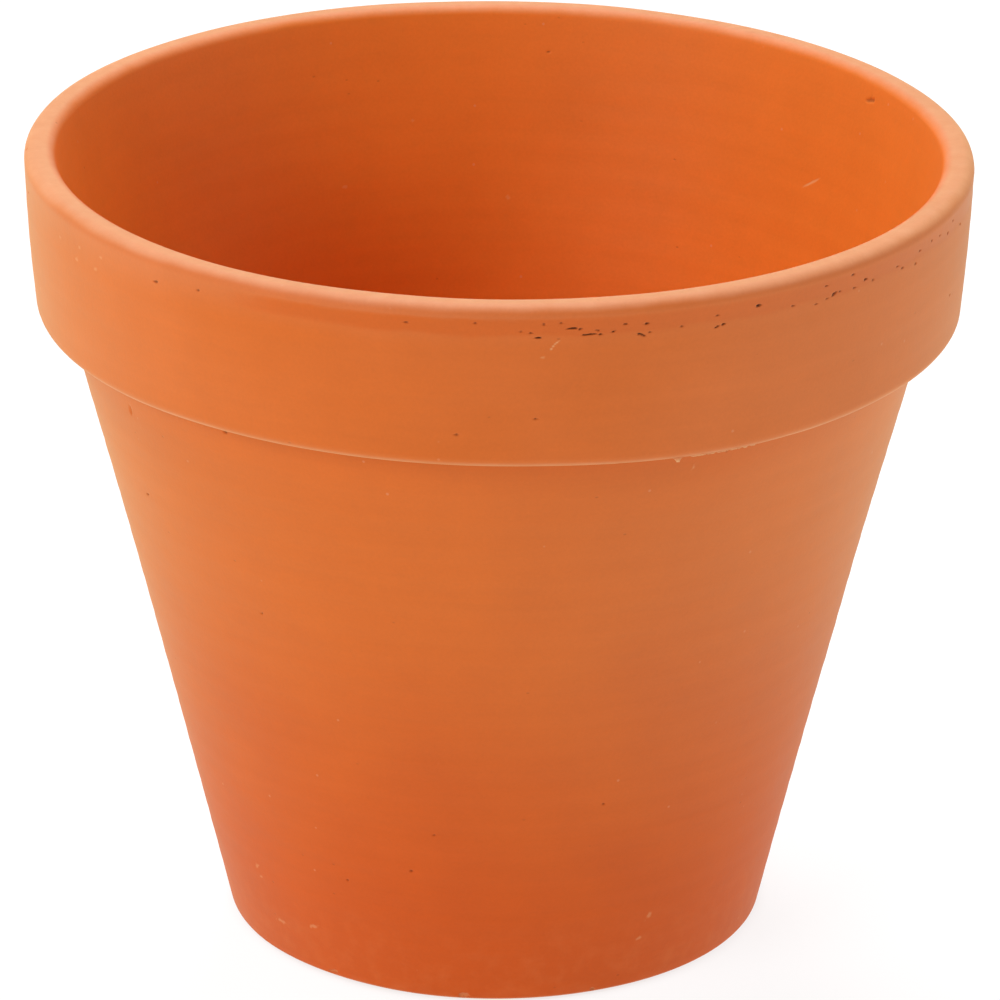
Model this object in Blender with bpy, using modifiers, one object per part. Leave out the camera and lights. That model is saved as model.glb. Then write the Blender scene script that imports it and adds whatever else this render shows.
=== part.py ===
"""Terracotta flower pot with a plain rolled band, a flat foot and one drain hole.

The pot is one piece of fired clay, so the model is one solid turned about the Z axis.
Units are metres, +Z is up, and the origin is at the middle of the foot's plane.
"""

import math

import bmesh
import bpy
from mathutils import Vector

# Driving dimensions, outside.
RIM_RADIUS = 0.1050           # widest, just under the lip
POT_HEIGHT = 0.1810
BAND_BOTTOM_Z = 0.1440        # underside of the band
BAND_BOTTOM_RADIUS = 0.1025
BAND_SWELL = 0.0004           # how far the band's side bows out between its ends
WALL_TOP_RADIUS = 0.0957      # where the tapered wall meets the band's underside
FOOT_RADIUS = 0.0608          # the wall's taper carried down to the foot's plane

# Driving dimensions, inside.
MOUTH_RADIUS = 0.0983         # inside the lip
WALL_AT_FOOT = 0.0078         # wall thickness at the inner floor, measured level
FLOOR_Z = 0.0100              # top of the inner floor
HOLE_RADIUS = 0.0130          # drain hole
RECESS_RADIUS = 0.0450        # shallow hollow under the foot
RECESS_DEPTH = 0.0015

# Rounded edges and corners.
LIP_OUTER_ROUND = 0.0016
LIP_INNER_ROUND = 0.0023
BAND_EDGE_ROUND = 0.0025
BAND_CORNER_FILLET = 0.0014   # inner corner between the band and the wall
FOOT_ROUND = 0.0016
FLOOR_FILLET = 0.0120
HOLE_ROUND = 0.0020
RECESS_ROUND = 0.0010

# Mesh density.
TURN_STEPS = 64
ARC_STEPS = 3
BAND_STEPS = 4
MERGE_DISTANCE = 0.000001
SMOOTH_ANGLE = math.radians(35)

CLAY_COLOUR = (0.62, 0.19, 0.06, 1.0)
CLAY_ROUGHNESS = 0.92


def clear_scene():
    for obj in list(bpy.data.objects):
        bpy.data.objects.remove(obj, do_unlink=True)


def new_collection(name):
    collection = bpy.data.collections.new(name)
    bpy.context.scene.collection.children.link(collection)
    return collection


def clay_material():
    material = bpy.data.materials.new("terracotta")
    material.use_nodes = True
    shader = material.node_tree.nodes["Principled BSDF"]
    shader.inputs["Base Color"].default_value = CLAY_COLOUR
    shader.inputs["Roughness"].default_value = CLAY_ROUGHNESS
    shader.inputs["Metallic"].default_value = 0.0
    material.diffuse_color = CLAY_COLOUR
    return material


def rounded(before, corner, after, radius, steps=ARC_STEPS):
    """Points of an arc of the given radius in the corner between two straight runs."""
    corner = Vector(corner)
    back = (Vector(before) - corner).normalized()
    ahead = (Vector(after) - corner).normalized()
    half_angle = back.angle(ahead) / 2
    setback = radius / math.tan(half_angle)
    centre = corner + (back + ahead).normalized() * radius / math.sin(half_angle)
    start = corner + back * setback - centre
    end = corner + ahead * setback - centre
    sweep = start.angle(end)
    points = []
    for step in range(steps + 1):
        share = step / steps
        arm = (start * math.sin((1 - share) * sweep) + end * math.sin(share * sweep)) / math.sin(sweep)
        points.append(centre + arm)
    return points


def band_side():
    """The band's side from the rim down, a straight run with a slight swell."""
    points = []
    for step in range(BAND_STEPS + 1):
        share = step / BAND_STEPS
        radius = RIM_RADIUS + (BAND_BOTTOM_RADIUS - RIM_RADIUS) * share
        height = POT_HEIGHT + (BAND_BOTTOM_Z - POT_HEIGHT) * share
        points.append((radius + BAND_SWELL * math.sin(math.pi * share), height))
    return points


def pot_profile():
    """The closed outline of half the pot's section, as (radius, height), outside first and downwards."""
    side = band_side()
    taper = (WALL_TOP_RADIUS - FOOT_RADIUS) / BAND_BOTTOM_Z
    floor_radius = FOOT_RADIUS + taper * FLOOR_Z - WALL_AT_FOOT
    rim = (RIM_RADIUS, POT_HEIGHT)
    band_edge = (BAND_BOTTOM_RADIUS, BAND_BOTTOM_Z)
    band_corner = (WALL_TOP_RADIUS, BAND_BOTTOM_Z)
    foot_edge = (FOOT_RADIUS, 0.0)
    recess_mouth = (RECESS_RADIUS, 0.0)
    recess_top = (RECESS_RADIUS, RECESS_DEPTH)
    hole_bottom = (HOLE_RADIUS, RECESS_DEPTH)
    hole_top = (HOLE_RADIUS, FLOOR_Z)
    floor_edge = (floor_radius, FLOOR_Z)
    mouth = (MOUTH_RADIUS, POT_HEIGHT)

    outline = rounded(mouth, rim, side[1], LIP_OUTER_ROUND)
    outline += [Vector(point) for point in side[1:-1]]
    outline += rounded(side[-2], band_edge, band_corner, BAND_EDGE_ROUND)
    outline += rounded(band_edge, band_corner, foot_edge, BAND_CORNER_FILLET, 2)
    outline += rounded(band_corner, foot_edge, recess_mouth, FOOT_ROUND, 2)
    outline += rounded(foot_edge, recess_mouth, recess_top, RECESS_ROUND / 2, 1)
    outline += rounded(recess_mouth, recess_top, hole_bottom, RECESS_ROUND / 2, 1)
    outline += rounded(recess_top, hole_bottom, hole_top, HOLE_ROUND, 2)
    outline += rounded(hole_bottom, hole_top, floor_edge, HOLE_ROUND, 2)
    outline += rounded(hole_top, floor_edge, mouth, FLOOR_FILLET)
    outline += rounded(floor_edge, mouth, rim, LIP_INNER_ROUND)
    return outline


def turned(name, outline, collection, material):
    """A closed outline in the XZ plane, turned once round Z by a Screw modifier."""
    mesh = bpy.data.meshes.new(name)
    shape = bmesh.new()
    corners = [shape.verts.new((point[0], 0.0, point[1])) for point in outline]
    for start, end in zip(corners, corners[1:] + corners[:1]):
        shape.edges.new((start, end))
    shape.to_mesh(mesh)
    shape.free()
    mesh.materials.append(material)

    obj = bpy.data.objects.new(name, mesh)
    collection.objects.link(obj)
    screw = obj.modifiers.new("turn", "SCREW")
    screw.axis = "Z"
    screw.angle = math.tau
    screw.steps = TURN_STEPS
    screw.render_steps = TURN_STEPS
    screw.use_merge_vertices = True
    screw.merge_threshold = MERGE_DISTANCE
    screw.use_smooth_shade = True
    return obj


def apply_turn(obj):
    """Keep the turned mesh itself, and mark the edges that read as corners."""
    graph = bpy.context.evaluated_depsgraph_get()
    solid = bpy.data.meshes.new_from_object(obj.evaluated_get(graph))
    solid.name = obj.name
    obj.modifiers.clear()
    obj.data = solid
    solid.shade_smooth()
    solid.set_sharp_from_angle(angle=SMOOTH_ANGLE)


def main():
    clear_scene()
    parts = new_collection("terracotta_pot")
    pot = turned("pot_body", pot_profile(), parts, clay_material())
    apply_turn(pot)


main()
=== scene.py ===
import math
import random

import bpy
from mathutils import Matrix, Quaternion, Vector, noise
from mathutils.kdtree import KDTree


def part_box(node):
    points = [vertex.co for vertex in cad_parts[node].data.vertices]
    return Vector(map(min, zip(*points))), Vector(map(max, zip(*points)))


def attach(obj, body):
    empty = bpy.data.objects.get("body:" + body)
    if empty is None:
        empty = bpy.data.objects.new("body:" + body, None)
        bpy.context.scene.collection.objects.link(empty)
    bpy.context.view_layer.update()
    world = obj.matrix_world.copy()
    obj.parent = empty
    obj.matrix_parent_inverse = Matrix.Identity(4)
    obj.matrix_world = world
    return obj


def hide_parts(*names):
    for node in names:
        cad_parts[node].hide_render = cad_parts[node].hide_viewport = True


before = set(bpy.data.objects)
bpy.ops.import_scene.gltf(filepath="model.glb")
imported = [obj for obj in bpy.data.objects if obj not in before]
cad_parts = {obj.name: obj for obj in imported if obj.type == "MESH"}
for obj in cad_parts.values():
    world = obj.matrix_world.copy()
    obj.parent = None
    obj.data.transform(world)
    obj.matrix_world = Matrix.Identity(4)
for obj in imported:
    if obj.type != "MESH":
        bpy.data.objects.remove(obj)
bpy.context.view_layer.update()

# The pot stands on the floor at the origin, +Z up. Lengths are in metres unless a name says mm or deg.
mm = 0.001
lowCorner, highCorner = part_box("pot_body")
boxRadius = (highCorner.x - lowCorner.x) / 2
boxHeight = highCorner.z - lowCorner.z


class Signal:
    # one socket of a material, with arithmetic that adds Math nodes
    def __init__(self, sheet, socket):
        self.sheet = sheet
        self.socket = socket

    def __add__(self, other):
        return self.sheet.sum("ADD", self, other)

    def __radd__(self, other):
        return self.sheet.sum("ADD", other, self)

    def __sub__(self, other):
        return self.sheet.sum("SUBTRACT", self, other)

    def __rsub__(self, other):
        return self.sheet.sum("SUBTRACT", other, self)

    def __mul__(self, other):
        return self.sheet.sum("MULTIPLY", self, other)

    def __rmul__(self, other):
        return self.sheet.sum("MULTIPLY", other, self)


class NodeSheet:
    # the nodes of a new material or surround, which all come from node()
    def __init__(self, owner):
        self.owner = owner
        owner.use_nodes = True
        self.tree = owner.node_tree
        self.tree.nodes.clear()

    def node(self, kind, settings=None, sockets=None, output=0):
        made = self.tree.nodes.new(kind)
        for key, value in (settings or {}).items():
            setattr(made, key, value)
        for key, value in (sockets or {}).items():
            if isinstance(value, Signal):
                self.tree.links.new(value.socket, made.inputs[key])
            else:
                made.inputs[key].default_value = value
        return Signal(self, made.outputs[output]) if made.outputs else None

    def sum(self, operation, first, second):
        return self.node("ShaderNodeMath", {"operation": operation}, {0: first, 1: second})

    def rise(self, signal, low, high):
        # 0 below low, 1 above high, smooth between; low above high makes it fall
        sockets = {"Value": signal, "From Min": low, "From Max": high}
        if low > high:
            sockets.update({"From Min": high, "From Max": low, "To Min": 1.0, "To Max": 0.0})
        return self.node("ShaderNodeMapRange", {"interpolation_type": "SMOOTHSTEP"}, sockets)

    def attribute(self, name):
        return self.node("ShaderNodeAttribute", {"attribute_name": name}, output="Fac")

    def stretched(self, vector, factors):
        sockets = {0: vector, 1: factors}
        return self.node("ShaderNodeVectorMath", {"operation": "MULTIPLY"}, sockets)

    def clouds(self, vector, size, detail=3.0):
        # noise centred on 0, whose blotches are about size across in the vector's own units
        sockets = {"Vector": vector, "Scale": 1.0 / size, "Detail": detail, "Roughness": 0.55}
        return self.node("ShaderNodeTexNoise", None, sockets) - 0.5

    def varied(self, signals, base, **shares):
        # a base value moved up and down by shares of the named signals
        for name, share in shares.items():
            base = base + signals[name] * share
        return base

    def spots(self, vector, size, spacing, share):
        # round spots size across, one in each of a share of the cells spacing apart
        cell = {"Vector": vector, "Scale": 1.0 / spacing, "Randomness": 1.0}
        near = self.node("ShaderNodeTexVoronoi", {"feature": "F1"}, cell, "Distance")
        pick = self.node("ShaderNodeTexVoronoi", {"feature": "F1"}, cell, "Color")
        chance = self.node("ShaderNodeSeparateColor", None, {0: pick}, "Red")
        edge = size / spacing / 2
        return self.rise(near, edge, edge * 0.4) * self.rise(chance, 1 - share, 1 - share * 0.8)

    def blend(self, factor, first, second):
        settings = {"data_type": "RGBA", "blend_type": "MIX", "clamp_factor": True}
        return self.node("ShaderNodeMix", settings, {0: factor, 6: first, 7: second}, 2)

    def scaled(self, vector, factor):
        # a colour made lighter or darker, or a place in other units
        return self.node("ShaderNodeVectorMath", {"operation": "SCALE"}, {0: vector, "Scale": factor})

    def finish(self, shader):
        self.node("ShaderNodeOutputMaterial", None, {"Surface": shader})
        return self.owner


viewPlan = dict(
    elevationDeg=22.145,
    distance=14.51,                    # in rim radii
    aim=Vector((0.0007, 0.0019, 0.0946)),
    towards=0.86,                      # the height that the elevation is measured to, in rim radii
    rollDeg=0.406,
    lens=242.9,
)

lightPlan = dict(
    horizon=1.0,                       # the white surround, which fades out overhead
    fadeFrom=0.15,
    fadeTo=0.35,
    target=Vector((0, 0, 0.1)),
    distance=2.6,
    size=1.2,
    softboxes=[
        # name, degrees round from +X, degrees up, watts
        ("frontLeft", -135, 30, 29.5),
        ("left", 180, 60, 30.0),
        ("right", 0, 30, 20.0),
        ("back", 90, 60, 49.0),
    ],
)


def addCamera(plan, rimRadius):
    tilt = math.radians(plan["elevationDeg"])
    back = Vector((0, -math.cos(tilt), math.sin(tilt)))
    eye = Vector((0, 0, plan["towards"] * rimRadius)) + back * plan["distance"] * rimRadius
    data = bpy.data.cameras.new("potCamera")
    data.lens = plan["lens"]
    camera = bpy.data.objects.new("potCamera", data)
    bpy.context.scene.collection.objects.link(camera)
    look = (eye - plan["aim"]).to_track_quat("Z", "Y")
    roll = Quaternion((0, 0, 1), math.radians(plan["rollDeg"]))
    camera.matrix_world = Matrix.Translation(eye) @ (look @ roll).to_matrix().to_4x4()
    bpy.context.scene.camera = camera


def addLights(plan):
    surround = NodeSheet(bpy.data.worlds.new("studio"))
    way = surround.node("ShaderNodeTexCoord", output="Generated")
    up = surround.node("ShaderNodeSeparateXYZ", None, {0: way}, "Z")
    white = surround.rise(up, plan["fadeTo"], plan["fadeFrom"]) * plan["horizon"]
    glow = surround.node("ShaderNodeBackground", None, {"Color": (1, 1, 1, 1), "Strength": white})
    surround.node("ShaderNodeOutputWorld", None, {"Surface": glow})
    bpy.context.scene.world = surround.owner
    for name, around, lift, watts in plan["softboxes"]:
        data = bpy.data.lights.new(name, "AREA")
        data.size = plan["size"]
        data.energy = watts
        lamp = bpy.data.objects.new(name, data)
        bpy.context.scene.collection.objects.link(lamp)
        turn, rise = math.radians(around), math.radians(lift)
        level = Vector((math.cos(turn), math.sin(turn), 0))
        away = level * math.cos(rise) + Vector((0, 0, math.sin(rise)))
        aim = away.to_track_quat("Z", "Y").to_matrix().to_4x4()
        lamp.matrix_world = Matrix.Translation(plan["target"] + away * plan["distance"]) @ aim


floorPlan = dict(
    size=60.0,
    below=0.3 * mm,
    matt=(0.20, 0.20, 0.20, 1),
    glow=0.86,                         # near the pot
    farGlow=1.0,                       # where the softboxes don't reach
    near=0.7,
    far=2.2,
    darkOut=45 * mm,                   # no glow under the pot, a painted shadow, or it would show through the drain hole
    litFrom=63 * mm,
)


def addFloor(plan):
    bpy.ops.object.select_all(action="DESELECT")
    bpy.ops.mesh.primitive_plane_add(size=plan["size"], location=(0, 0, -plan["below"]))
    floor = bpy.context.object
    floor.name = "studioFloor"
    sheet = NodeSheet(bpy.data.materials.new("paleFloor"))
    place = sheet.node("ShaderNodeTexCoord", output="Object")
    distance = sheet.node("ShaderNodeVectorMath", {"operation": "LENGTH"}, {0: place}, "Value")
    reach = sheet.rise(distance, plan["near"], plan["far"])
    # the glow fades out under the pot: a painted shadow
    clear = sheet.rise(distance, plan["darkOut"], plan["litFrom"])
    strength = (reach * (plan["farGlow"] - plan["glow"]) + plan["glow"]) * clear
    matt = sheet.node("ShaderNodeBsdfDiffuse", None, {"Color": plan["matt"]})
    glow = sheet.node("ShaderNodeEmission", None, {"Strength": strength})
    both = sheet.node("ShaderNodeAddShader", None, {0: matt, 1: glow})
    floor.data.materials.append(sheet.finish(both))


potShape = dict(
    rimRadius=boxRadius - 0.35 * mm,   # widest, just under the lip
    height=boxHeight - 1.0 * mm,
    bandBottom=143.25 * mm,
    bandBottomRadius=102.1 * mm,
    bandSwell=0.22 * mm,
    wallTopRadius=95.3 * mm,
    wallHollow=0.50 * mm,              # how far the taper dips in from a straight line
    footRadius=60.3 * mm,
    mouthRadius=97.9 * mm,
    floorRadius=55.4 * mm,
    floorHeight=10 * mm,
    holeRadius=13 * mm,
    recessRadius=45 * mm,
    recessDepth=1.5 * mm,
    turnSteps=208,
    fineGap=0.8 * mm,                  # between the rings of the band and lip
    wideGap=1.8 * mm,                  # between the rings of the walls
    ridgePitch=7.3 * mm,               # finger ridges left by turning
    ridgeHeight=0.03 * mm,
    floorRidgeHeight=0.16 * mm,
)


def roundedCorner(before, corner, after, radius, steps):
    back = (before - corner).normalized()
    ahead = (after - corner).normalized()
    half = back.angle(ahead) / 2
    centre = corner + (back + ahead).normalized() * radius / math.sin(half)
    start = corner + back * radius / math.tan(half) - centre
    end = corner + ahead * radius / math.tan(half) - centre
    sweep = start.angle(end)
    shares = [step / steps for step in range(steps + 1)]
    return [
        centre + (start * math.sin((1 - s) * sweep) + end * math.sin(s * sweep)) / math.sin(sweep)
        for s in shares
    ]


def straightRun(start, end, gap, bow, ridge, pitch):
    # points between two ends, bowed to the left of the way, with shallow ridges that fade at both ends
    length = (end - start).length
    count = max(1, round(length / gap))
    side = (end - start).orthogonal().normalized()
    points = []
    for step in range(1, count):
        share = step / count
        swell = math.sin(math.pi * share)
        wave = math.tau * share * length / pitch
        # the second, quicker wave keeps the ridges from looking alike
        ridges = math.sin(wave) + 0.6 * math.sin(1.7 * wave + 1)
        lift = bow * swell + ridge * min(1, swell * 3) * ridges
        points.append(start.lerp(end, share) + side * lift)
    return points


def potOutline(shape):
    fine, wide, ridge = shape["fineGap"], shape["wideGap"], shape["ridgeHeight"]
    corners = [
        # radius, height, rounding in mm, its steps, then the run after it: ring gap, bow, ridges
        (shape["rimRadius"], shape["height"], 2.6, 10, fine, shape["bandSwell"], ridge * 0.5),
        (shape["bandBottomRadius"], shape["bandBottom"], 2.6, 9, fine, 0, 0),
        (shape["wallTopRadius"], shape["bandBottom"], 1.3, 4, wide, -shape["wallHollow"], ridge),
        (shape["footRadius"], 0, 1.4, 5, wide * 1.4, 0, 0),
        (shape["recessRadius"], 0, 0.5, 2, wide, 0, 0),
        (shape["recessRadius"], shape["recessDepth"], 0.5, 2, wide * 1.4, 0, ridge),
        (shape["holeRadius"], shape["recessDepth"], 2.0, 4, fine, 0, 0),
        (shape["holeRadius"], shape["floorHeight"], 2.0, 4, wide, 0, shape["floorRidgeHeight"]),
        (shape["floorRadius"], shape["floorHeight"], 12, 7, wide * 1.25, 0, ridge * 1.6),
        (shape["mouthRadius"], shape["height"], 2.7, 8, fine, 0, 0),
    ]
    spots = [Vector(corner[:2]) for corner in corners]
    count = len(corners)
    arcs = [
        roundedCorner(spots[i - 1], spots[i], spots[(i + 1) % count], corners[i][2] * mm, corners[i][3])
        for i in range(count)
    ]
    outline = []
    for i in range(count):
        nextArc = arcs[(i + 1) % count]
        outline += arcs[i]
        outline += straightRun(arcs[i][-1], nextArc[0], *corners[i][4:], shape["ridgePitch"])
    return outline


def turnOutline(name, outline, steps):
    # a closed outline, extruded point by point from one vertex and spun once round Z
    bpy.ops.object.select_all(action="DESELECT")
    bpy.ops.mesh.primitive_plane_add(size=mm, location=(0, 0, 0))
    piece = bpy.context.object
    piece.name = piece.data.name = name
    bpy.ops.object.mode_set(mode="EDIT")
    bpy.ops.mesh.select_all(action="SELECT")
    bpy.ops.mesh.merge(type="CENTER")
    here = Vector((outline[0].x, 0, outline[0].y))
    bpy.ops.transform.translate(value=here)
    for point in outline[1:]:
        there = Vector((point.x, 0, point.y))
        bpy.ops.mesh.extrude_vertices_move(TRANSFORM_OT_translate={"value": there - here})
        here = there
    bpy.ops.object.mode_set(mode="OBJECT")
    for vertex in piece.data.vertices:
        vertex.select = vertex.index in (0, len(outline) - 1)
    bpy.ops.object.mode_set(mode="EDIT")
    bpy.ops.mesh.edge_face_add()
    bpy.ops.mesh.select_all(action="SELECT")
    bpy.ops.mesh.spin(steps=steps, angle=math.tau, center=(0, 0, 0), axis=(0, 0, 1))
    bpy.ops.mesh.select_all(action="SELECT")
    bpy.ops.mesh.remove_doubles(threshold=0.001 * mm)
    bpy.ops.mesh.normals_make_consistent(inside=False)
    bpy.ops.object.mode_set(mode="OBJECT")
    return piece


markPlan = dict(
    outside=0.2,                       # a radius clear of the pot, from which outer marks are cast inwards
    fullDepth=1.0 * mm,                # the depth or height that a weight of 1 stands for
    offPlane=2 * mm,                   # how far off its own plane a mark still counts
    raggedSize=0.7 * mm,               # of the wander of its edge
    fullAt=0.5,                        # colour and depth fade out between these shares of its size
    goneAt=1.15,
    refineAt=1.4,                      # faces are made finer out to this share of its size
    refineReach=3 * mm,                # how far past a mark's end faces are looked for
    refinePasses=[(3, 0.25 * mm), (1, 0.10 * mm)],      # cuts, and the margin added to a mark
)
# depth in mm, below zero for a lump; dark and pale say how far the colour goes to that side. The dark of
# pores, pits, dents and nicks is painted shade in their hollows; a chip's dark is partly its stain
markKinds = dict(
    pore=dict(depth=0.45, dark=1.0, pale=0, ragged=0.5),
    pit=dict(depth=0.30, dark=0.55, pale=0, ragged=0.4),
    dent=dict(depth=0.28, dark=0.12, pale=0, ragged=0.2),
    chip=dict(depth=0.35, dark=0.4, pale=0.1, ragged=0.6),
    nick=dict(depth=0.35, dark=0.05, pale=0.25, ragged=0.6),
    scratch=dict(depth=0.05, dark=0, pale=0.6, ragged=0.0),
    scuff=dict(depth=0.03, dark=0, pale=0.27, ragged=0.8),
    drip=dict(depth=-0.15, dark=0, pale=0.45, ragged=0.3),
    crumb=dict(depth=-0.25, dark=0, pale=0.6, ragged=0.6),
    lump=dict(depth=-0.95, dark=0, pale=0.75, ragged=0.4),
)

# kind, degrees round the pot (the front is -90), height, half length, half width, tilt in degrees; mm
outerMarks = [
    ("pore", -81.5, 175.1, 1.15, 0.20, 0), ("pore", -80.6, 174.9, 0.35, 0.24, 60),
    ("pore", -79.5, 173.6, 1.60, 0.17, 3), ("pore", -78.3, 173.5, 0.40, 0.20, 0),
    ("pit", -78.6, 174.4, 0.45, 0.20, -30), ("pore", -76.8, 173.9, 0.50, 0.18, 30),
    ("pit", -75.4, 175.4, 0.45, 0.20, 0), ("pore", -73.7, 172.9, 0.45, 0.28, -10),
    ("pore", -73.2, 172.5, 0.45, 0.17, -35), ("pore", -72.8, 175.1, 0.32, 0.26, 30),
    ("pit", -72.5, 173.1, 0.30, 0.20, 0), ("pit", -68.6, 173.6, 0.35, 0.22, 0),
    ("pore", -63.3, 172.7, 0.42, 0.26, 15), ("pore", -64.1, 172.4, 0.55, 0.16, 30),
    ("pit", -64.1, 174.9, 0.32, 0.20, 0), ("pore", -58.7, 175.5, 0.55, 0.28, 10),
    ("pit", -53.8, 173.7, 0.36, 0.24, 10), ("pit", -50.3, 172.7, 0.40, 0.24, 0),
    ("pit", -48.8, 176.1, 0.35, 0.24, 0), ("pore", -47.5, 173.7, 0.75, 0.28, 30),
    ("pit", -48.6, 173.2, 0.35, 0.22, 0), ("pore", -46.6, 173.9, 0.30, 0.22, 0),
    ("pore", -44.4, 176.8, 0.30, 0.26, 0), ("pit", -44.1, 173.6, 0.35, 0.24, 0),
    ("pore", -42.1, 174.6, 0.45, 0.26, 10), ("pit", -40.7, 173.8, 0.40, 0.28, 0),
    ("pit", -35.8, 174.3, 0.30, 0.22, 0), ("pore", -34.7, 173.4, 0.32, 0.28, 20),
    ("pore", -31.6, 172.8, 0.36, 0.30, 15), ("pit", -30.6, 175.1, 0.35, 0.24, 0),
    ("pore", -27.5, 175.6, 0.30, 0.26, 0), ("pit", -25.0, 175.4, 0.30, 0.22, 0),
    ("pit", -22.2, 174.3, 0.42, 0.28, 15), ("pit", -20.5, 176.1, 0.35, 0.28, 0),
    ("pore", -85.4, 173.2, 0.65, 0.20, 0), ("pit", -84.8, 176.2, 0.32, 0.20, 60),
    ("pit", -82.8, 176.4, 0.32, 0.20, 0), ("pit", -86.3, 174.3, 0.35, 0.18, 0),
    ("pit", -87.5, 174.6, 0.30, 0.20, 70), ("pit", -92.6, 176.4, 0.35, 0.20, 0),
    ("pit", -100.5, 175.8, 0.50, 0.20, 0), ("pit", -127.0, 175.1, 0.42, 0.26, 20),
    ("pit", -133.7, 174.0, 0.65, 0.25, 15), ("pit", -169.3, 173.8, 0.40, 0.30, 0),
    ("pit", -94.8, 151.0, 0.45, 0.32, 0), ("pit", -85.6, 154.9, 0.35, 0.28, 0),
    ("pit", -105.4, 34.0, 0.40, 0.34, 0), ("pit", -70.8, 51.7, 0.35, 0.30, 0),
    ("dent", -147.5, 135.4, 1.60, 0.60, 84),
    ("scratch", -83.85, 170.9, 0.90, 0.16, 60), ("scratch", -83.35, 172.0, 0.90, 0.16, 42),
    ("scuff", -85.0, 168.8, 0.32, 0.28, 0), ("scuff", -154.3, 172.8, 0.45, 0.35, 0),
    ("scuff", -148.9, 173.7, 0.50, 0.35, 20), ("scuff", -149.9, 170.4, 0.65, 0.50, 60),
    ("scuff", -144.0, 174.2, 0.45, 0.35, 0), ("scuff", -145.3, 170.9, 0.60, 0.40, 30),
    ("scuff", -144.0, 22.1, 0.90, 0.50, 40), ("scuff", -143.4, 19.7, 0.60, 0.40, 0),
    ("scuff", -129.4, 12.3, 1.20, 0.50, 20), ("scuff", -57.8, 18.7, 1.00, 0.50, 60),
    ("scuff", -59.3, 12.8, 0.70, 0.50, 0),
    ("lump", -67.9, 143.5, 0.55, 0.80, 0), ("crumb", -65.6, 143.6, 0.70, 0.30, 0),
    ("drip", -63.7, 136.9, 0.60, 0.20, 80), ("drip", -63.5, 137.9, 0.30, 0.16, 60),
    ("drip", -63.5, 135.4, 0.32, 0.18, 80),
]
innerMarks = [
    ("chip", 29.6, 174.9, 1.50, 0.55, 20), ("chip", 28.9, 175.1, 0.50, 0.40, 0),
    ("scratch", 38.0, 152.0, 3.20, 0.30, 35), ("scuff", 113.8, 141.1, 0.60, 0.50, 0),
    ("scuff", 102.7, 154.6, 0.50, 0.45, 0), ("scuff", 88.4, 136.5, 0.50, 0.45, 0),
    ("pit", 83.2, 170.1, 0.35, 0.30, 0),
]
strayMarks = dict(
    # marks on the sides that the lists above leave bare, drawn at random within these spans
    seed=7,
    tilt=(-25, 25),
    spans=[
        # kind, how many, degrees round, heights, half lengths, half widths
        ("pore", 30, (-17, 185), (172.4, 177.4), (0.3, 1.2), (0.2, 0.34)),
        ("pit", 16, (-180, 180), (8, 168), (0.3, 0.5), (0.25, 0.35)),
        ("scuff", 16, (-60, 230), (4, 30), (0.5, 1.6), (0.3, 0.7)),
        ("crumb", 22, (-66, -57.5), (143.35, 143.9), (0.3, 0.9), (0.12, 0.26)),
        ("nick", 12, (-180, 180), (0.4, 1.6), (0.6, 1.9), (0.4, 0.9)),
        ("nick", 7, (-10, 250), (178.9, 179.5), (0.4, 1.0), (0.3, 0.5)),
    ],
)


def drawStrayMarks(plan):
    dice = random.Random(plan["seed"])
    drawn = []
    for kind, count, *spans in plan["spans"]:
        for number in range(count):
            drawn.append((kind, *[dice.uniform(*span) for span in spans], dice.uniform(*plan["tilt"])))
    return drawn


def findMark(pot, mark, fromInside):
    # where a mark lies on the surface, with its own long and wide directions
    kind, angle, height, long, wide, tilt = mark
    outward = Vector((math.cos(math.radians(angle)), math.sin(math.radians(angle)), 0))
    start = Vector((0, 0, height * mm)) + outward * (0 if fromInside else markPlan["outside"])
    hit, place, normal, face = pot.ray_cast(start, outward if fromInside else -outward)
    level = Vector((0, 0, 1)).cross(normal).normalized()
    slope = normal.cross(level)
    turn = math.radians(tilt)
    longWay = level * math.cos(turn) + slope * math.sin(turn)
    return dict(markKinds[kind], place=place, normal=normal, longWay=longWay,
                wideWay=normal.cross(longWay), long=long * mm, wide=wide * mm)


def underMark(mark, point, margin):
    # 0 at the middle of the mark, 1 at its edge, and more beyond; margin widens it
    away = point - mark["place"]
    if abs(away.dot(mark["normal"])) > markPlan["offPlane"]:
        return math.inf
    return math.hypot(away.dot(mark["longWay"]) / (mark["long"] + margin),
                      away.dot(mark["wideWay"]) / (mark["wide"] + margin))


def newAttributes(mesh, names):
    # all are added before any is looked up, because adding one moves the others
    for name in names:
        mesh.attributes.new(name, "FLOAT", "POINT")
    return [mesh.attributes[name] for name in names]


def treeOf(points):
    tree = KDTree(len(points))
    for index, point in enumerate(points):
        tree.insert(point, index)
    tree.balance()
    return tree


def facePoints(mesh, face):
    # points spread over a face, near enough to each other that no mark slips between them
    corners = [mesh.vertices[index].co for index in face.vertices]
    middles = [(corner + corners[i - 1]) / 2 for i, corner in enumerate(corners)]
    return corners + middles + [(corner + face.center) / 2 for corner in corners] + [face.center]


def refineUnder(pot, marks, plan, cuts, margin):
    # the faces under the marks are subdivided, so that a mark a few tenths wide has shape
    mesh = pot.data
    bpy.ops.object.mode_set(mode="EDIT")
    bpy.ops.mesh.select_all(action="DESELECT")
    bpy.ops.object.mode_set(mode="OBJECT")
    tree = treeOf([face.center for face in mesh.polygons])
    for mark in marks:
        for place, index, distance in tree.find_range(mark["place"], mark["long"] + plan["refineReach"]):
            face = mesh.polygons[index]
            face.select = face.select or any(
                underMark(mark, point, margin) < plan["refineAt"] for point in facePoints(mesh, face)
            )
    bpy.ops.object.mode_set(mode="EDIT")
    bpy.ops.mesh.select_mode(type="FACE")
    bpy.ops.mesh.subdivide(number_cuts=cuts, smoothness=0)
    bpy.ops.object.mode_set(mode="OBJECT")


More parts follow.
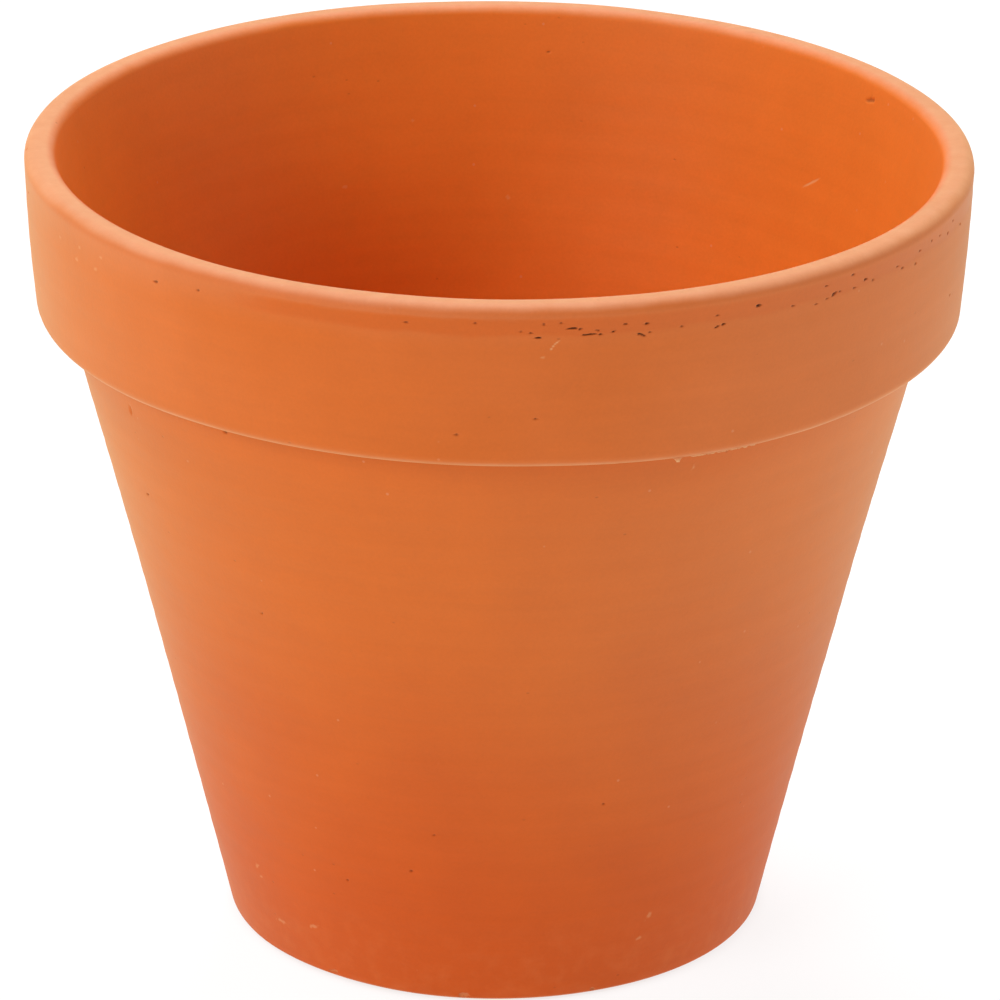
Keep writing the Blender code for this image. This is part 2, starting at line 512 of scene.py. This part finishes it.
def weighMarks(pot, marks, plan):
    # how deep, high, dark and pale every vertex under a mark is, as shares of 1
    tree = treeOf([vertex.co for vertex in pot.data.vertices])
    weights = dict(carved={}, raised={}, darkMark={}, paleMark={})
    for mark in marks:
        depth = abs(mark["depth"]) * mm / plan["fullDepth"]
        shares = dict(darkMark=mark["dark"], paleMark=mark["pale"])
        shares["carved" if mark["depth"] > 0 else "raised"] = depth
        for place, index, distance in tree.find_range(mark["place"], mark["long"] + plan["offPlane"]):
            wander = 1 + mark["ragged"] * noise.noise(place / plan["raggedSize"])
            edge = underMark(mark, place, 0) * wander
            weight = 1 - smooth(edge, plan["fullAt"], plan["goneAt"])
            if weight > 0:
                for name, share in shares.items():
                    weights[name][index] = max(weights[name].get(index, 0), weight * share)
    return weights


def displaceBy(pot, name, weights, strength, direction="NORMAL"):
    # moves the vertices by their weights, along their normals or along an axis
    group = pot.vertex_groups.new(name=name)
    for index, weight in weights.items():
        group.add([index], weight, "REPLACE")
    push = pot.modifiers.new(name, "DISPLACE")
    push.vertex_group = name
    push.direction = direction
    push.mid_level = 0
    push.strength = strength
    bpy.ops.object.modifier_apply(modifier=name)
    pot.vertex_groups.remove(pot.vertex_groups[name])


def shapeMarks(pot, marks, plan):
    weights = weighMarks(pot, marks, plan)
    displaceBy(pot, "carved", weights["carved"], -plan["fullDepth"])
    displaceBy(pot, "raised", weights["raised"], plan["fullDepth"])
    for name in ("darkMark", "paleMark"):
        shade = newAttributes(pot.data, [name])[0]
        for index, weight in weights[name].items():
            shade.data[index].value = weight


def smooth(value, low, high):
    share = min(1, max(0, (value - low) / (high - low)))
    return share * share * (3 - 2 * share)


handShape = dict(
    stripTop=177.6,                    # the bare strip under the lip, in mm
    stripBottom=173.6,
    stripWander=0.8,                   # of its lower edge
    stripWanderTurns=9,                # how often it wanders on the way round
    stripDepth=0.07 * mm,
    stripFrom=-112,                    # degrees; it fades out towards -X from here
    stripFadeOver=16,
    stripLowest=171,                   # no vertex below this is looked at
    stripFacing=0.5,                   # nor one that faces out less than this
    stripEdge=0.9,                     # how softly its edges fade
    stripPatches=2.5,                  # how often it weakens on the far side
    stripWeak=-0.35,
    stripFull=0.25,
    uneven=0.16 * mm,
    unevenSize=45 * mm,
    holeReach=4 * mm,
    holeLumpSize=3.5 * mm,
    holeLumpHeight=0.8 * mm,
    bandShift=0.40 * mm,               # the band sits this far to +X of the wall
    shiftOut=(0.6 * mm, 3 * mm),       # out from the wall's top, from none of the shift to all of it
    shiftUp=(20 * mm, 4 * mm),         # from this far under the band to this far under the lip
    shiftCorner=0.1 * mm,              # the band starts this far under its lower edge
    shiftBelow=0.3,                    # the share that the wall under it takes
    lean=-0.40 * mm,                   # of the lip's middle, along X
    tilt=0.67 * mm,                    # the lip stands this much higher at -X and lower at +X
    sagAt=-60,                         # degrees; where the band's lower edge hangs lowest
    sagOver=30,
    sag=-0.8 * mm,
    sagOut=(0.4 * mm, 4 * mm),         # out from the wall's top, from none of the sag to all of it
    sagUp=(2 * mm, 16 * mm),           # up from the band's lower edge, from all of it to none
)


def recordTurning(pot, shape):
    # every vertex keeps its turned height, and its distance out from the inner wall, both in mm
    heights, walls = newAttributes(pot.data, ("turnedHeight", "fromInside"))
    rise = shape["height"] - shape["floorHeight"]
    for vertex in pot.data.vertices:
        share = (vertex.co.z - shape["floorHeight"]) / rise
        inner = shape["floorRadius"] + (shape["mouthRadius"] - shape["floorRadius"]) * share
        heights.data[vertex.index].value = vertex.co.z / mm
        walls.data[vertex.index].value = (vertex.co.xy.length - inner) / mm


def pressStrip(pot, plan):
    # a shallow bare strip round the top of the band, with a wandering lower edge and weaker stretches
    weights = {}
    top = plan["stripTop"]
    for vertex in pot.data.vertices:
        height = vertex.co.z / mm
        facing = vertex.normal.xy.dot(vertex.co.xy)
        if height > plan["stripLowest"] and facing > plan["stripFacing"] * vertex.co.xy.length:
            around = vertex.co.xy.normalized()
            turned = Vector((around.x, around.y, 0))
            wander = noise.noise(turned * plan["stripWanderTurns"]) * plan["stripWander"]
            low, edge = plan["stripBottom"] + wander, plan["stripEdge"]
            weight = smooth(height, low - edge, low + edge) * (1 - smooth(height, top - edge, top + edge / 3))
            angle = math.degrees(math.atan2(around.y, around.x))
            fadeEnd = plan["stripFrom"] - plan["stripFadeOver"]
            if angle < plan["stripFrom"]:
                weight *= smooth(angle, fadeEnd, plan["stripFrom"])
            elif angle > 0:
                patch = noise.noise(Vector((around.x, around.y, 3)) * plan["stripPatches"])
                weight *= smooth(patch, plan["stripWeak"], plan["stripFull"])
            if weight > 0:
                weights[vertex.index] = weight
    displaceBy(pot, "strip", weights, -plan["stripDepth"])
    bare = newAttributes(pot.data, ["bareStrip"])[0]
    for index, weight in weights.items():
        bare.data[index].value = weight


def roughenHole(pot, shape, plan):
    # the drain hole was pushed through soft clay, so its edges are not clean
    weights = {}
    for vertex in pot.data.vertices:
        out = vertex.co.xy.length - shape["holeRadius"]
        if vertex.co.z < shape["floorHeight"] + mm and out < plan["holeReach"]:
            lump = 0.5 + 0.5 * noise.noise(vertex.co / plan["holeLumpSize"])
            weights[vertex.index] = lump * (1 - smooth(out, 0, plan["holeReach"]))
    displaceBy(pot, "holeEdge", weights, plan["holeLumpHeight"])


def makeUneven(pot, plan):
    lumps = bpy.data.textures.new("handLumps", "CLOUDS")
    lumps.noise_scale = plan["unevenSize"]
    lumps.noise_depth = 1
    swell = pot.modifiers.new("uneven", "DISPLACE")
    swell.texture = lumps
    swell.texture_coords = "LOCAL"
    swell.mid_level = 0.5
    swell.strength = plan["uneven"] * 2
    bpy.ops.object.modifier_apply(modifier="uneven")


def shiftBand(pot, shape, plan):
    # the band and lip sit a little off the wall's axis
    weights = {}
    below, underLip = plan["shiftUp"]
    for vertex in pot.data.vertices:
        height = vertex.co.z
        outside = smooth(vertex.co.xy.length - shape["wallTopRadius"], *plan["shiftOut"])
        above = smooth(height, shape["bandBottom"] - below, shape["height"] - underLip)
        weight = above * plan["shiftBelow"]
        if height > shape["bandBottom"] - plan["shiftCorner"]:
            weight = max(outside, above)
        if weight > 0:
            weights[vertex.index] = weight
    displaceBy(pot, "bandShift", weights, plan["bandShift"], "X")


def sagBand(pot, shape, plan):
    # the band's lower edge hangs a little lower on one side
    weights = {}
    for vertex in pot.data.vertices:
        off = abs(math.degrees(math.atan2(vertex.co.y, vertex.co.x)) - plan["sagAt"]) / plan["sagOver"]
        outside = smooth(vertex.co.xy.length - shape["wallTopRadius"], *plan["sagOut"])
        low = 1 - smooth(vertex.co.z - shape["bandBottom"], *plan["sagUp"])
        weight = outside * low * (1 - smooth(off, 0, 1))
        if weight > 0:
            weights[vertex.index] = weight
    displaceBy(pot, "sag", weights, plan["sag"], "Z")


def leanPot(pot, shape, plan):
    # a cage with two points a side leans the pot and tilts its lip, while the foot stays on the floor
    bpy.ops.object.select_all(action="DESELECT")
    bpy.ops.object.add(type="LATTICE", location=(0, 0, shape["height"] / 2))
    cage = bpy.context.object
    cage.scale = (shape["rimRadius"] * 2, shape["rimRadius"] * 2, shape["height"])
    for point in cage.data.points:
        if point.co.z > 0:
            side = math.copysign(1, point.co.x)
            point.co_deform.x += plan["lean"] / cage.scale.x
            point.co_deform.z -= side * plan["tilt"] / cage.scale.z
    for axis in "uvw":
        setattr(cage.data, "interpolation_type_" + axis, "KEY_LINEAR")
    bpy.context.view_layer.update()
    bpy.ops.object.select_all(action="DESELECT")
    pot.select_set(True)
    bpy.context.view_layer.objects.active = pot
    bend = pot.modifiers.new("lean", "LATTICE")
    bend.object = cage
    bpy.ops.object.modifier_apply(modifier="lean")
    bpy.data.objects.remove(cage)


def standOnFloor(pot):
    # the unevenness moves the foot up or down a little, so the pot is set down again
    lowest = min(vertex.co.z for vertex in pot.data.vertices)
    bpy.ops.object.mode_set(mode="EDIT")
    bpy.ops.mesh.select_all(action="SELECT")
    bpy.ops.transform.translate(value=(0, 0, -lowest))
    bpy.ops.object.mode_set(mode="OBJECT")


clayPlan = dict(
    body=(0.615, 0.113, 0.006, 1),
    deep=(0.572, 0.073, 0.001, 1),     # bare clay in the strip, and painted shade darkening the wall towards the foot
    inner=(0.735, 0.177, 0.022, 1),
    dustAndSheen=(0.67, 0.31, 0.18, 1),       # the lip, worn edges and lime bloom, and the painted highlight and sheen on the lip, the band's lower edge and the +X side
    lime=(0.76, 0.42, 0.19, 1),
    # near black: painted shade in the hollows of marks, and the colour of the dark flecks
    pore=(0.09, 0.010, 0.002, 1),
    footDust=(0.66, 0.22, 0.07, 1),
    sheen=(0.86, 0.86, 0.38, 1),
    sheenWeight=0.30,
    sheenRoughness=0.6,
    wallIor=1.24,
    skinIor=1.27,
    bump=0.6,
    # blotch sizes and stretches in mm, and the size, spacing and share of the flecks
    broad=55,
    patches=14,
    mottle=4,
    grain=0.7,
    streaks=2.2,
    streakStretch=(0.06, 0.06, 1.0),
    paleFlecks=(0.9, 5.5, 0.25),
    darkFlecks=(0.6, 4.2, 0.3),
    darkStretch=(0.6, 0.6, 1.0),
    # where each look goes from none to full, and how far the blotches move that: in mm as turned,
    # except the strip, which is in shares of how hard it is pressed
    reach=dict(
        inside=dict(none=2.0, full=0.5),                # out from the inner wall
        lipTop=dict(none=178.2, full=179.9, patches=1.0, broad=1.2),
        lipHighlightLeft=dict(none=170.0, full=179.5, patches=3.0),
        strip=dict(none=0.05, full=0.95, mottle=0.6),
        onBand=dict(none=143.0, full=145.0),
        edgeBelow=dict(none=144.8, full=143.9),         # the worn line along the band's lower edge, partly a painted sheen line
        edgeAbove=dict(none=142.0, full=143.0),
        edgeOut=dict(none=9.5, full=12.0),              # out from the inner wall
        footBand=dict(none=26.0, full=4.0, patches=14),
        under=dict(none=0.9, full=0.2),
        # from the deep colour low down, painted shade, to the body colour higher up
        body=dict(none=10.0, full=120.0, broad=60),
        rightward=dict(none=-50.0, full=110.0),         # along X
        paintedSheenRight=dict(none=10.0, full=100.0),
        dusted=dict(none=0.0, full=130.0),
    ),
    # how much of each look shows, and how far the blotches change that
    cover=dict(
        strip=dict(base=0.3),
        bandHaze=dict(base=0.02, broad=0.15),
        paintedSheenRight=dict(base=0.11),
        lipHighlightLeft=dict(base=0.15),
        lipTop=dict(base=0.55, mottle=0.4),
        edgeWearAndSheen=dict(base=0.24, patches=0.7),
        footBand=dict(base=0.02, mottle=0.35),
        under=dict(base=0.45, patches=1.0),
        paleFlecks=dict(base=0.35),
        darkFlecks=dict(base=0.22),
        dust=dict(base=0.4, dusted=0.6),
    ),
    light=dict(base=1, broad=0.10, patches=0.08, mottle=0.06, streaks=0.07, grain=0.10),
    rough=dict(base=0.56, patches=0.10, grain=0.12, lipTop=0.06, strip=-0.06, inside=-0.05),
    relief=dict(base=0, grain=0.035, mottle=0.05, streaks=0.05, darkFlecks=-0.06),      # in mm
)


def firedClay(plan):
    clay = NodeSheet(bpy.data.materials.new("firedClay"))
    place = clay.node("ShaderNodeTexCoord", output="Object")
    inMm = clay.scaled(place, 1 / mm)
    acrossX = clay.node("ShaderNodeSeparateXYZ", None, {0: inMm}, "X")
    height = clay.attribute("turnedHeight")
    fromInside = clay.attribute("fromInside")
    signals = dict(
        broad=clay.clouds(inMm, plan["broad"], 2.0),
        patches=clay.clouds(inMm, plan["patches"]),
        mottle=clay.clouds(inMm, plan["mottle"]),
        grain=clay.clouds(inMm, plan["grain"], 2.0),
        streaks=clay.clouds(clay.stretched(inMm, plan["streakStretch"]), plan["streaks"]),
    )

    def reach(name, signal):
        shares = dict(plan["reach"][name])
        none, full = shares.pop("none"), shares.pop("full")
        return clay.rise(clay.varied(signals, signal, **shares), none, full)

    def cover(name):
        return clay.varied(signals, **plan["cover"][name])

    paleFlecks = clay.spots(inMm, *plan["paleFlecks"])
    darkFlecks = clay.spots(clay.stretched(inMm, plan["darkStretch"]), *plan["darkFlecks"])
    inside = reach("inside", fromInside)
    outside = 1 - inside
    # the paler lip top is partly dust and partly a painted highlight from the light above
    lipTop = reach("lipTop", height)
    strip = reach("strip", clay.attribute("bareStrip"))
    bandHaze = reach("onBand", height) * outside * (1 - strip) * cover("bandHaze")
    rightward = reach("rightward", acrossX) * outside
    # a painted sheen on the +X side, where grazing reflection of the white surround whitens the outside
    paintedSheenRight = rightward * reach("paintedSheenRight", height) * cover("paintedSheenRight")
    # a painted highlight that carries the lip's paleness down the lit left side
    lipHighlightLeft = reach("lipHighlightLeft", height) * (outside - rightward) * (1 - strip) * cover("lipHighlightLeft")
    # wear and a painted sheen line along the band's lower rounding
    edgeWearAndSheen = reach("edgeBelow", height) * reach("edgeAbove", height) * reach("edgeOut", fromInside)
    footBand = reach("footBand", height) * outside
    under = reach("under", height)

    # painted shade: the lower wall goes darker and deeper towards the foot
    colour = clay.blend(reach("body", height), plan["deep"], plan["body"])
    layers = [
        # each share of a look, and the colour it brings, from the first laid on to the last
        (inside, "inner"),
        (strip * cover("strip"), "deep"),
        (bandHaze + paintedSheenRight, "dustAndSheen"),
        (lipHighlightLeft, "dustAndSheen"),
        # dust and a painted highlight on the lip top
        (lipTop * cover("lipTop"), "dustAndSheen"),
        (edgeWearAndSheen * cover("edgeWearAndSheen"), "dustAndSheen"),
        (footBand * cover("footBand"), "footDust"),
        (under * cover("under"), "footDust"),
        (paleFlecks * cover("paleFlecks"), "dustAndSheen"),
        (darkFlecks * cover("darkFlecks"), "pore"),
    ]
    for share, name in layers:
        colour = clay.blend(share, colour, plan[name])
    colour = clay.scaled(colour, clay.varied(signals, **plan["light"]))
    colour = clay.blend(clay.attribute("paleMark"), colour, plan["lime"])
    # painted shade in the hollows of pores, pits, dents and nicks, and the chips' stain
    colour = clay.blend(clay.attribute("darkMark"), colour, plan["pore"])

    signals.update(lipTop=lipTop, strip=strip, inside=inside, darkFlecks=darkFlecks)
    signals.update(dusted=reach("dusted", height))
    relief = clay.varied(signals, **plan["relief"])
    bumpy = {"Height": relief, "Strength": plan["bump"], "Distance": mm}
    finish = {
        "Base Color": colour,
        "Roughness": clay.varied(signals, **plan["rough"]),
        "Normal": clay.node("ShaderNodeBump", None, bumpy),
    }
    wall = clay.node("ShaderNodeBsdfPrincipled", None, {**finish, "IOR": plan["wallIor"]})
    # dust makes the outside paler where it is seen edge on
    bloom = {
        "IOR": plan["skinIor"],
        "Sheen Weight": plan["sheenWeight"],
        "Sheen Roughness": plan["sheenRoughness"],
        "Sheen Tint": plan["sheen"],
    }
    skin = clay.node("ShaderNodeBsdfPrincipled", None, {**finish, **bloom})
    dust = outside * cover("dust")
    return clay.finish(clay.node("ShaderNodeMixShader", None, {0: dust, 1: wall, 2: skin}))


addCamera(viewPlan, potShape["rimRadius"])
addLights(lightPlan)
addFloor(floorPlan)
print("stage ready")

pot = turnOutline("terracottaPot", potOutline(potShape), potShape["turnSteps"])
print("pot turned:", len(pot.data.polygons), "faces")
marks = [findMark(pot, mark, False) for mark in outerMarks + drawStrayMarks(strayMarks)]
marks += [findMark(pot, mark, True) for mark in innerMarks]
for cuts, margin in markPlan["refinePasses"]:
    refineUnder(pot, marks, markPlan, cuts, margin)
recordTurning(pot, potShape)
shapeMarks(pot, marks, markPlan)
pressStrip(pot, handShape)
roughenHole(pot, potShape, handShape)
print("marks pressed:", len(pot.data.polygons), "faces")
makeUneven(pot, handShape)
sagBand(pot, potShape, handShape)
shiftBand(pot, potShape, handShape)
leanPot(pot, potShape, handShape)
standOnFloor(pot)
bpy.ops.object.shade_smooth()
pot.data.materials.append(firedClay(clayPlan))
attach(pot, "root")
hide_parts("pot_body")
triangles = sum(len(face.vertices) - 2 for face in pot.data.polygons)
print("pot finished:", triangles, "triangles")

bpy.context.scene.view_settings.view_transform = "Standard"
